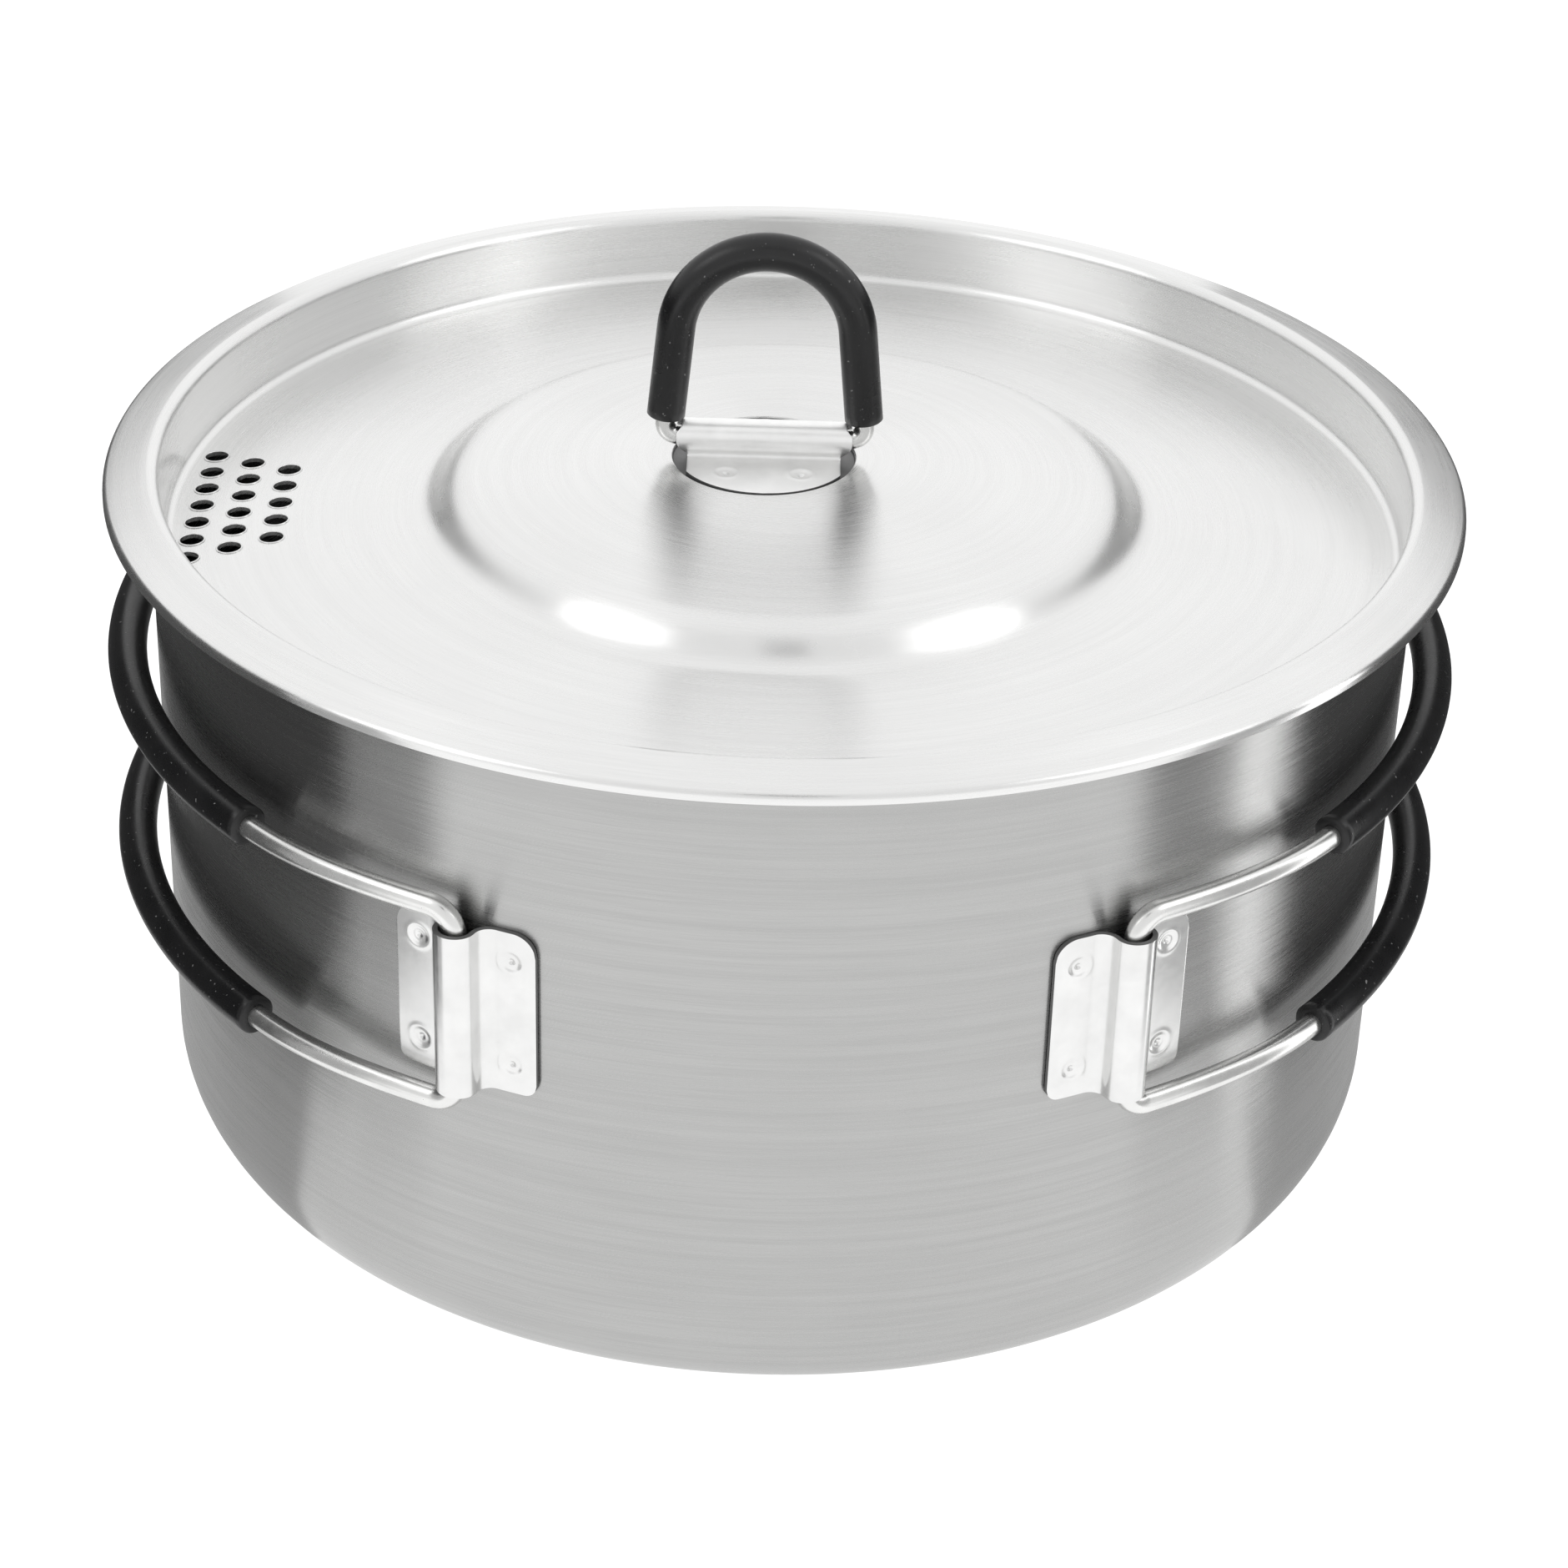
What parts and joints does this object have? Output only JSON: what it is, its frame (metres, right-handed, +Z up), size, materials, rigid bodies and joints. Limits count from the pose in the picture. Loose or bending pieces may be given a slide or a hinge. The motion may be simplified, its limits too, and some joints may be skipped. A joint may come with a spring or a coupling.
{
  "type": "camping cook pot",
  "caption": "Round steel cook pot with folding wire handles in hinge brackets and a strainer lid that has a folding ring handle.",
  "frame": {"origin": "centre of the pot's flat bottom, on the surface it stands on", "axes": "+Z up, -Y towards the front where the two hinge brackets are, +X to the right seen from the front"},
  "size_m": [0.2172, 0.2158, 0.1526],
  "materials": {
    "pot_steel": "brushed round the wall",
    "lid_steel": "brushed in circles, bright",
    "bracket_steel": "smooth satin",
    "wire_steel": "drawn and polished",
    "grip_sleeve": "black, half matt"
  },
  "bodies": {
    "pot": {"pot_shell": "pot_steel", "left_hinge_bracket": "bracket_steel", "right_hinge_bracket": "bracket_steel"},
    "left_handle": {"left_handle_wire": "wire_steel", "left_handle_grip": "grip_sleeve"},
    "right_handle": {"right_handle_wire": "wire_steel", "right_handle_grip": "grip_sleeve"},
    "lid": {"lid_shell": "lid_steel", "lid_ring_bracket": "bracket_steel"},
    "lid_ring": {"lid_ring_wire": "wire_steel", "lid_ring_grip": "grip_sleeve"}
  },
  "joints": [
    {"name": "left_handle_swing", "type": "hinge", "parent": "pot", "child": "left_handle", "pos_m": [-0.04934, -0.09144, 0.0682], "axis": [0, 0, 1], "range_deg": [0, 172]},
    {"name": "right_handle_swing", "type": "hinge", "parent": "pot", "child": "right_handle", "pos_m": [0.04934, -0.09144, 0.0682], "axis": [0, 0, -1], "range_deg": [0, 172]},
    {"name": "lid_lift", "type": "slide", "parent": "pot", "child": "lid", "axis": [0, 0, 1], "range_m": [0, 0.15]},
    {"name": "lid_ring_fold", "type": "hinge", "parent": "lid", "child": "lid_ring", "pos_m": [-0.0035, 0.00013, 0.11791], "axis": [0.9993, -0.0375, 0], "range_deg": [-85, 85]}
  ]
}
